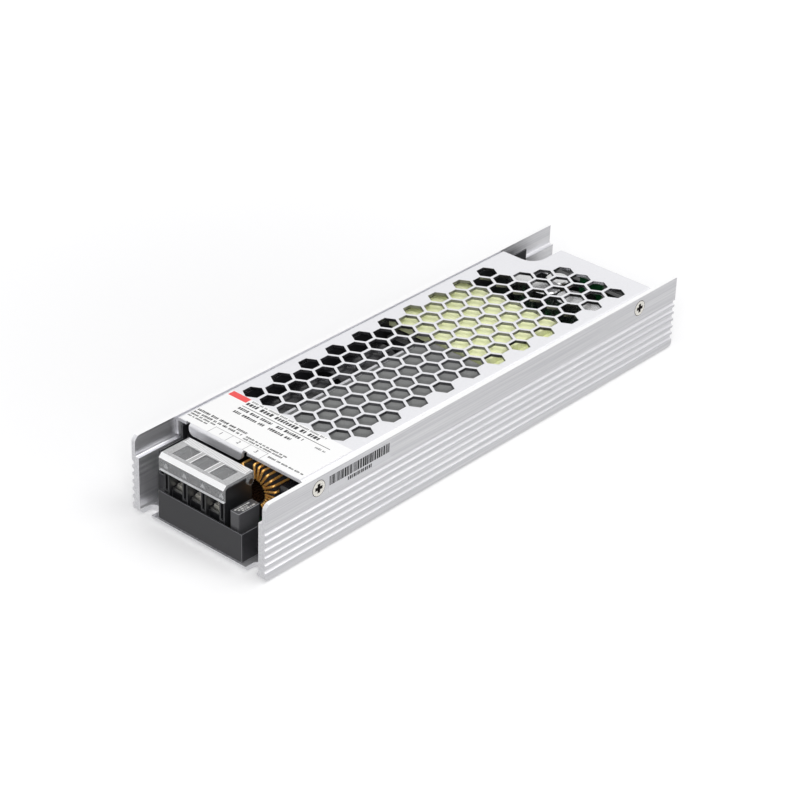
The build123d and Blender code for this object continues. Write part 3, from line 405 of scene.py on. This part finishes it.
# One turn is drawn in mm round the ring's middle: a circle of wire is led along four straight runs
# with a bend after each.
turn = bmesh.new()
bmesh.ops.create_circle(turn, cap_ends=False, radius=wire / 2, segments=wire_sides)
bmesh.ops.rotate(turn, verts=turn.verts, matrix=Matrix.Rotation(math.pi / 2, 3, "X"))
place = Vector((far, bend - reach, 0))
bmesh.ops.translate(turn, verts=turn.verts, vec=place)
rim = list(turn.edges)
heading = Vector((0, 1, 0))
for run in (2 * reach, far - near, 2 * reach, far - near):
    straight = heading * (run - 2 * bend)
    grown = bmesh.ops.extrude_edge_only(turn, edges=rim)["geom"]
    moved = [part for part in grown if isinstance(part, bmesh.types.BMVert)]
    bmesh.ops.translate(turn, verts=moved, vec=straight)
    rim = [part for part in grown if isinstance(part, bmesh.types.BMEdge)]
    inward = Vector((-heading.y, heading.x, 0))
    pivot = place + straight + inward * bend
    turned = bmesh.ops.spin(
        turn, geom=rim, cent=pivot, axis=(0, 0, 1), angle=math.pi / 2, steps=bend_steps
    )["geom_last"]
    rim = [part for part in turned if isinstance(part, bmesh.types.BMEdge)]
    place = pivot + heading * bend
    heading = inward
bmesh.ops.remove_doubles(turn, verts=turn.verts, dist=0.01)
one_turn = bpy.data.meshes.new("one_turn")
turn.to_mesh(one_turn)
turn.free()

# Its copies are swung round the ring's axis on each side. Turns laid by hand lean a little.
most_lean = 0.035
lean_step = 2.1
winding = bmesh.new()
for side in (0, math.pi):
    for count in range(turns_a_side):
        swing = side + (count - (turns_a_side - 1) / 2) * turn_angle - winding_lift
        lean = most_lean * math.sin(lean_step * count + side)
        old = set(winding.verts)
        winding.from_mesh(one_turn)
        new = [vert for vert in winding.verts if vert not in old]
        bmesh.ops.rotate(winding, verts=new, matrix=Matrix.Rotation(lean, 3, "X"))
        bmesh.ops.rotate(winding, verts=new, matrix=Matrix.Rotation(swing, 3, "Y"))
# Turns close to the ring's axis take the painted shade of the bore.
for face in winding.faces:
    middle = face.calc_center_median()
    if math.hypot(middle.x, middle.z) < near + wire / 2:
        face.material_index = second_finish
bmesh.ops.translate(winding, verts=winding.verts, vec=core_centre)
bmesh.ops.scale(winding, verts=winding.verts, vec=(mm, mm, mm))
bmesh.ops.recalc_face_normals(winding, faces=winding.faces)
turns = new_piece("choke_turns", winding, [copper, bore_shade], crease=60)
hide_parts("choke_winding")

# Primary side: two sleeved electrolytic cans, a folded aluminium heat sink with a grey silicone
# pad on it, and the packages that are clamped to its leg. Rolled sheet is an even satin, the pad is
# dull and mottled, and the pad's sheet runs on towards the transformer.
sheet = finish(
    "sheet_aluminium",
    "EBEBEE",
    rough=0.42,
    metal=0.5,
    grain=0.6,
    vary=0.06,
    tint="E6E6E9",
    bump=0.08,
)
pad = finish("grey_silicone_pad", "949594", rough=0.80, grain=0.25, tint="7C7D7D", bump=0.3)
coil = finish("varnished_coil", "6B4A2A", rough=0.35, metal=0.2, grain=0.4, tint="4E351E")
epoxy = finish("black_epoxy_package", "202022", rough=0.45, grain=0.3)
paint(shrink, "bulk_capacitors")
paint(sheet, "heatsink")
pad_sheet = joined_copy("thermal_pad", "pad_sheet", [pad], radius=0.15)
pad_middle = 3.0
pad_end = 11.5
for corner in pad_sheet.data.vertices:
    if corner.co.y > pad_middle * mm:
        corner.co.y = pad_end * mm
paint(epoxy, "bridge_rectifier", "power_transistors", "output_rectifiers", "control_chip")
paint(coil, "boost_choke")

# Transformer: a ferrite core on a black bobbin. Pale yellow polyester tape is wound round the coil
# and the core together, flat across the top and tucked down at both sides. The tape is glossy, and
# the edges of its layers show as faint bands across it.
tape = finish("yellow_polyester_tape", "FCFFD6", rough=0.25, grain=(6, 0.6, 6), tint="F2F8BC")
paint(black_box, "transformer_bobbin")
coil_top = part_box("transformer_tape")[1][2] / mm
ferrite_low, ferrite_high = in_mm(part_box("transformer_core"))
tape_thickness = 0.1
tape_shift = 4.2
tape_left = ferrite_low.x - tape_shift
tape_right = ferrite_high.x - tape_shift
shoulder = ferrite_high.x + 0.15
tape_round = 0.5
corner_cut = 0.3 * tape_round
# Its outline from the end: up the left side, over the coil, and down by the shoulder on the right.
outline = (
    (tape_left, ferrite_low.z + 0.5),
    (tape_left, coil_top - tape_round),
    (tape_left + corner_cut, coil_top - corner_cut),
    (tape_left + tape_round, coil_top),
    (tape_right - tape_round, coil_top),
    (tape_right - corner_cut, coil_top - corner_cut),
    (tape_right, coil_top - tape_round),
    (tape_right, ferrite_high.z + 0.2),
    (shoulder, ferrite_high.z + 0.1),
    (shoulder, ferrite_low.z + 5.0),
)
tape_start = ferrite_low.y + 5.0
tape_length = ferrite_high.y + 3.2 - tape_start
wrap = bmesh.new()
corners = [wrap.verts.new((x * mm, tape_start * mm, z * mm)) for x, z in outline]
edges = [wrap.edges.new(pair) for pair in zip(corners, corners[1:])]
grown = bmesh.ops.extrude_edge_only(wrap, edges=edges)["geom"]
far_corners = [part for part in grown if isinstance(part, bmesh.types.BMVert)]
bmesh.ops.translate(wrap, verts=far_corners, vec=(0, tape_length * mm, 0))
tuck_down = 2.2
tuck_in = 0.3
touching = 0.01
for end_y, inward in ((tape_start, tuck_in), (tape_start + tape_length, -tuck_in)):
    rim = [
        edge
        for edge in wrap.edges
        if all(
            abs(vert.co.y / mm - end_y) < touching
            and vert.co.z / mm > coil_top - tape_round - touching
            for vert in edge.verts
        )
    ]
    grown = bmesh.ops.extrude_edge_only(wrap, edges=rim)["geom"]
    folded = [part for part in grown if isinstance(part, bmesh.types.BMVert)]
    bmesh.ops.translate(wrap, verts=folded, vec=(0, inward * mm, -tuck_down * mm))
bmesh.ops.recalc_face_normals(wrap, faces=wrap.faces)
bmesh.ops.solidify(wrap, geom=wrap.faces[:], thickness=tape_thickness * mm)
transformer_wrap = new_piece("transformer_wrap", wrap, [tape])
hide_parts("transformer_tape")

# Output side: black heat sink, aluminium cans, a trimmer with a white rotor, and a green lamp. The
# anodised sink is near black with a dull sheen, the cans are bright, and the lamp's lens is glossy.
anodised = finish("black_anodised_aluminium", "131418", rough=0.45, metal=0.4)
can = finish("drawn_aluminium_can", "DADADA", rough=0.28, metal=1.0, grain=1.0)
blue_case = finish("blue_moulded_case", "2156A8", rough=0.38, vary=0.04)
white_case = finish("white_moulded_case", "E4E4DE", rough=0.40, vary=0.04)
green_lens = finish("green_epoxy_lens", "3FA046", rough=0.15, vary=0.04)
paint(anodised, "output_heatsink")
paint(can, "output_capacitors")
paint(blue_case, "trimmer_body")
paint(white_case, "trimmer_rotor")
paint(green_lens, "indicator_led")

# Terminal blocks: black glass-filled nylon with barriers, tinned plates and plated screws. The
# glass gives the nylon a fine grain, its edges are paler as a painted highlight, and the tin is a
# soft grey.
nylon = finish("black_moulded_nylon", "202123", rough=0.36, grain=0.35, tint="1B1B1D", bump=0.1)
nylon_edge_highlight = finish("painted_highlight_nylon_edge", "5C5C60", rough=0.30, grain=0.35)
tinned = finish("tinned_brass", "B4B4B0", rough=0.32, metal=1.0, vary=0.06)
block_round = 0.12
input_block = joined_copy(
    "input_terminal_block",
    "input_block",
    [nylon, nylon_edge_highlight],
    radius=block_round,
    edge_finish=second_finish,
)
output_block = joined_copy(
    "output_terminal_block",
    "output_block",
    [nylon, nylon_edge_highlight],
    radius=block_round,
    edge_finish=second_finish,
)
paint(tinned, "input_terminals", "output_terminals")
paint(plated, "input_terminal_screws", "output_terminal_screws")


# Film capacitor: a dark grey moulded box beside the input block, satin, with edges painted paler as
# a highlight and plain white marks on top.
def add_block(shape, low, high, index=0):
    """Adds a square-cornered block to a bmesh, from its lowest to its highest corner, in mm."""
    made = bmesh.ops.create_cube(shape, size=mm)["verts"]
    bmesh.ops.scale(shape, verts=made, vec=[h - l for l, h in zip(low, high)])
    bmesh.ops.translate(shape, verts=made, vec=[(h + l) / 2 * mm for l, h in zip(low, high)])
    for face in {face for vert in made for face in vert.link_faces}:
        face.material_index = index


grey_box = finish("grey_moulded_case", "4E4E51", rough=0.38, grain=0.4, tint="474749")
grey_edge_highlight = finish("painted_highlight_grey_edge", "8A8A8D", rough=0.32, grain=0.4)
film_cap = joined_copy(
    "film_capacitor",
    "film_capacitor_case",
    [grey_box, grey_edge_highlight],
    radius=0.16,
    edge_finish=second_finish,
)
white_ink = finish("white_pad_print", "C9C9C6", rough=0.50, vary=0.04)
cap_low, cap_high = in_mm(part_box("film_capacitor"))
mark_rows = ((0.8, 6.6), (1.4, 4.9), (2.2, 7.2))  # each row's two ends along the capacitor
first_row = 0.7
row_pitch = 0.85
mark_width = 0.55
shortest_mark = 0.45
mark_step = 0.35
mark_lengths = 3
places_a_mm = 7
mark_gap = 0.3
mark_sink = 0.01
mark_relief = 0.015
marks = bmesh.new()
for row, (start, stop) in enumerate(mark_rows):
    across = cap_low.x + first_row + row * row_pitch
    along = cap_low.y + start
    while along < cap_low.y + stop:
        # A mark has one of a few lengths, by its row and its place in it.
        steps = (row + int(along * places_a_mm)) % mark_lengths
        length = shortest_mark + mark_step * steps
        add_block(
            marks,
            (across, along, cap_high.z - mark_sink),
            (across + mark_width, along + length, cap_high.z + mark_relief),
        )
        along += length + mark_gap
cap_marks = new_piece("film_capacitor_marks", marks, [white_ink])

# Terminal flap: clear moulded polycarbonate. The windows are polished and let the black block show,
# the top round them and the nubs are hazy, and the bevel and rims are nearly opaque white, a
# painted highlight of their glint.
haze_range = {"clear": (0.08, 0.22), "hazy": (0.34, 0.56), "white_highlight": (0.92, 1.0)}
hazy_grade, highlight_grade = 1, 2
polycarbonate = []
for grade, (least_haze, most_haze) in haze_range.items():
    made, tree, end = new_material(grade + "_polycarbonate")
    plastic = add_node(
        tree, "BsdfPrincipled", {"Base Color": srgb("FCFCFC"), "Roughness": 0.25, "IOR": 1.58}
    )
    see = add_node(tree, "BsdfTransparent", {"Color": srgb("F4F5F6")})
    mist = grain_noise(tree, 0.4)
    haze = add_node(
        tree,
        "MapRange",
        {
            "From Min": noise_low,
            "From Max": noise_high,
            "To Min": least_haze,
            "To Max": most_haze,
        },
        {"Value": mist.outputs[0]},
    )
    mixed = add_node(
        tree, "MixShader", None, {0: haze.outputs[0], 1: see.outputs[0], 2: plastic.outputs[0]}
    )
    tree.links.new(mixed.outputs[0], end.inputs["Surface"])
    polycarbonate.append(made)

flap = joined_copy(
    "input_terminal_cover", "clear_flap", polycarbonate, radius=0.10, body="terminal_flap"
)
flap_low, flap_high = in_mm(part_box("input_terminal_cover"))
leaning = 0.3  # a face whose normal has more than this along an axis leans that way
skin = 0.1
skirt_inside = flap_low.y + 0.92
nub_reach = 0.4
nub_top = flap_high.z - 2.5
# The bevel and rims take the nearly opaque white painted highlight, and the top and nubs are hazy.
for face in flap.data.polygons:
    spot = face.center / mm
    on_bevel = face.normal.z > leaning and face.normal.y < -leaning
    on_rim = abs(face.normal.z) > facing and spot.z < flap_low.z + skin
    on_nub = skirt_inside < spot.y < skirt_inside + nub_reach and spot.z < nub_top
    on_top = face.normal.z > facing and spot.z > flap_high.z - skin
    if on_bevel or on_rim:
        face.material_index = highlight_grade
    elif on_nub or on_top:
        face.material_index = hazy_grade

# Flap's ribs: fine raised lines moulded with it. Two run along each barrier under it, and a ridged
# band with a bar on each side lies along its back edge.
barrier_pitch = 7.62
middle_x = (flap_low.x + flap_high.x) / 2
rib_offset = 0.8
rib_half = 0.14
rib_start = flap_low.y + 2.6
rib_end = flap_low.y + 9.2
rib_foot = flap_high.z - 0.02
rib_top = flap_high.z + 0.08
ribs = bmesh.new()
for barrier_x in (middle_x - barrier_pitch / 2, middle_x + barrier_pitch / 2):
    for rib_x in (barrier_x - rib_offset, barrier_x + rib_offset):
        add_block(
            ribs,
            (rib_x - rib_half, rib_start, rib_foot),
            (rib_x + rib_half, rib_end, rib_top),
        )
band_low = flap_high.y - 2.6
bar_inset = 0.25
bar_half = 0.12
bar_margin = 0.5
for band_y in (band_low - bar_inset, flap_high.y - bar_inset):
    add_block(
        ribs,
        (flap_low.x + bar_margin, band_y - bar_half, rib_foot),
        (flap_high.x - bar_margin, band_y + bar_half, rib_top),
    )
ridge_margin = 0.8
ridge_width = 0.32
ridge_pitch = 0.66
ridge_end = flap_high.y - 0.5
ridge_top = flap_high.z + 0.05
ridge_x = flap_low.x + ridge_margin
while ridge_x < flap_high.x - ridge_margin:
    add_block(
        ribs,
        (ridge_x, band_low, rib_foot),
        (ridge_x + ridge_width, ridge_end, ridge_top),
    )
    ridge_x += ridge_pitch
# The ribs take the same nearly opaque white painted highlight.
flap_ribs = new_piece("flap_ribs", ribs, [polycarbonate[highlight_grade]], body="terminal_flap")

# Cover: sheet aluminium, punched with hexagonal vents and folded, with an etched satin face. The
# walls of the vents and the rounded edges of the cover are painted darker than the face, as shade.
vent_shade = finish("painted_shade_vent_walls", "88888C", rough=0.30, metal=1.0, vary=0.04)
cover = joined_copy(
    "cover", "perforated_cover", [sheet, vent_shade], radius=0.10, edge_finish=second_finish
)
cover_low, cover_high = in_mm(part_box("cover"))
vents_side = 22.5
vents_start = cover_low.y + 22
vents_end = cover_high.y - 6
sheet_depth = 1.2
# The walls of the vents take the painted shade.
for face in cover.data.polygons:
    spot = face.center / mm
    in_vents = abs(spot.x) < vents_side and vents_start < spot.y < vents_end
    in_sheet = spot.z > cover_high.z - sheet_depth
    if in_vents and in_sheet and abs(face.normal.z) < leaning:
        face.material_index = second_finish

# Cover's screws: countersunk steel, plated, with a cross recess. The recess and a ring round the
# rim of each head are dark, painted shade in the recess and in the gap round the head.
shaded_steel = finish("painted_shade_recess_steel", "241F1B", rough=0.60, metal=0.2, vary=0.04)
screws = joined_copy(
    "cover_screws",
    "countersunk_screws",
    [plated, shaded_steel],
    radius=0.10,
    edge_finish=second_finish,
)
head_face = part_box("cover_screws")[1][0] / mm
recess_depth = 0.05
rim_width = 0.22
heads = bmesh.new()
heads.from_mesh(screws.data)
# The recess takes the painted shade.
for face in heads.faces:
    if abs(face.calc_center_median().x) / mm < head_face - recess_depth:
        face.material_index = second_finish
flats = [face for face in heads.faces if face.material_index != second_finish]
rims = bmesh.ops.inset_region(
    heads,
    faces=flats,
    thickness=rim_width * mm,
    depth=0,
    use_boundary=True,
    use_even_offset=True,
)["faces"]
# A ring round the rim of each head takes the painted shade too.
for face in rims:
    face.material_index = second_finish
    face.smooth = True
heads.to_mesh(screws.data)
heads.free()

# Label: thin film over the front of the cover, as pale as the metal. Its print is plain shapes: a
# red field, a rule, rows of short strokes and a numbered box per terminal. The film is smooth and
# the ink on it is flat and duller, and the two together are as thick as the solid.
printed_film = finish("printed_polyester_film", "FBFBFA", rough=0.40, grain=0.6)
black_ink = finish("black_print", "1E1E20", rough=0.55, vary=0.04)
grey_ink = finish("grey_print", "8B8B8B", rough=0.55, vary=0.04)
red_ink = finish("red_print", "F0504F", rough=0.50, vary=0.04)
inks = {"black": 1, "grey": 2, "red": 3}
ink_room = 0.02
ink_margin = 0.005
label_low, label_high = in_mm(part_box("label"))
film_top = label_high.z - ink_room
ink_top = label_high.z - ink_margin
label = bmesh.new()
add_block(label, label_low, (label_high.x, label_high.y, film_top))

# A stroke's size, the gap after it and the gap after a group are shares of the row's height, and a
# group has a few strokes, one more or less each time.
stroke_width = (0.28, 0.62)
stroke_height = (0.8, 1.0)
stroke_gap = 0.20
group_gap = 0.55
first_group = (3, 7)
later_group = (2, 8)
strokes = random.Random(7)


def print_patch(x_low, y_low, x_high, y_high, ink):
    """A rectangle of ink on the label."""
    add_block(label, (x_low, y_low, film_top - ink_margin), (x_high, y_high, ink_top), inks[ink])


def print_row(start, stop, foot, height, ink="black"):
    """A row of short upright strokes of ink, in groups."""
    across = start
    left_in_group = strokes.randint(*first_group)
    while across < stop:
        width = height * strokes.uniform(*stroke_width)
        tall = height * strokes.uniform(*stroke_height)
        print_patch(across, foot, min(across + width, stop), foot + tall, ink)
        across += width + height * stroke_gap
        left_in_group -= 1
        if left_in_group == 0:
            across += height * group_gap
            left_in_group = strokes.randint(*later_group)


# A patch is given by its left, foot, right and top, and a row by its two ends, its foot and its
# height, in mm.
print_patch(-24.1, -60.3, -16.7, -57.75, "red")
print_row(-15.6, 14.7, -58.85, 0.85, "grey")
print_row(-16.1, 14.4, -61.0, 1.75)
print_patch(-16.2, -62.3, 19.6, -62.05, "black")
print_row(-16.2, -2.5, -64.3, 1.25)
print_row(-0.5, 10.2, -64.3, 1.35)
print_row(15.6, 19.6, -64.6, 0.9, "grey")
print_row(-15.9, -3.5, -66.7, 1.25)
print_row(-1.5, 7.4, -66.7, 1.35)
print_row(-24.2, -3.9, -73.2, 1.1)
print_row(-24.2, -4.6, -74.8, 1.0)
print_row(-24.2, -14.1, -76.1, 0.8)
print_row(-24.2, -16.3, -77.3, 0.7)
print_row(-2.9, 13.6, -74.4, 0.75)
print_row(-2.9, 13.2, -75.6, 0.75)
print_row(9.4, 23.4, -77.9, 0.8)

# The boxes share one line along the top, and each of the first three lines down opens a box.
box_lines = (-13.2, -6.0, 1.2, 8.15)
box_head = -76.2
line_width = 0.15
number_size = 2.2
number_inset = 3.7
number_foot = -78.6
number_relief = 0.004
print_patch(box_lines[0], box_head - line_width, box_lines[-1] + line_width, box_head, "grey")
for number, box_x in enumerate(box_lines, start=1):
    print_patch(box_x, label_low.y, box_x + line_width, box_head, "grey")
    if number == len(box_lines):
        break
    text = bpy.data.curves.new("number", "FONT")
    text.body = str(number)
    text.size = number_size * mm
    text.extrude = number_relief * mm
    text.align_x = "CENTER"
    lettering = bpy.data.objects.new("number", text)
    scene.collection.objects.link(lettering)
    bpy.context.view_layer.update()
    drawn = lettering.evaluated_get(bpy.context.evaluated_depsgraph_get())
    figure = bpy.data.meshes.new_from_object(drawn)
    place = Vector((box_x + number_inset, number_foot, ink_top - number_relief)) * mm
    figure.transform(Matrix.Translation(place))
    old = set(label.faces)
    label.from_mesh(figure)
    for face in label.faces:
        if face not in old:
            face.material_index = inks["black"]
    bpy.data.objects.remove(lettering)
front_label = new_piece("front_label", label, [printed_film, black_ink, grey_ink, red_ink])
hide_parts("label")

# Side sticker: a strip of silvery film on the wall with a faint metal sheen. It has a row of plain
# upright bars, wide and narrow by turns, and a row of short strokes below them.
silvery_film = finish("silvery_polyester_film", "D6D6D9", rough=0.35, metal=0.3, grain=0.6)
sticker_low, sticker_high = in_mm(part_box("serial_sticker"))
sticker_film_top = sticker_high.x - ink_room
sticker_ink_top = sticker_high.x - ink_margin
sticker = bmesh.new()
add_block(sticker, sticker_low, (sticker_film_top, sticker_high.y, sticker_high.z))


def print_bar(start, width, foot, head):
    """An upright bar of ink on the sticker."""
    add_block(
        sticker,
        (sticker_film_top - ink_margin, start, foot),
        (sticker_ink_top, start + width, head),
        second_finish,
    )


bars = random.Random(3)
bar_widths = (0.30, 0.45, 0.60, 0.75)
bar_gaps = (0.20, 0.20, 0.34)
bars_foot = sticker_high.z - 3.3
bars_head = sticker_high.z - 0.15
bars_stop = sticker_high.y - 0.6
along = sticker_low.y + 0.35
while along < bars_stop:
    width = bars.choice(bar_widths)
    print_bar(along, width, bars_foot, bars_head)
    along += width + bars.choice(bar_gaps)

stroke_count = 13
stroke_pitch = 0.82
stroke_widths = (0.45, 0.60)
strokes_start = sticker_low.y + 8.2
strokes_foot = sticker_low.z + 0.55
strokes_head = sticker_low.z + 1.75
for count in range(stroke_count):
    print_bar(
        strokes_start + count * stroke_pitch,
        stroke_widths[count % len(stroke_widths)],
        strokes_foot,
        strokes_head,
    )
side_sticker = new_piece("side_sticker", sticker, [silvery_film, black_ink])
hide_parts("serial_sticker")
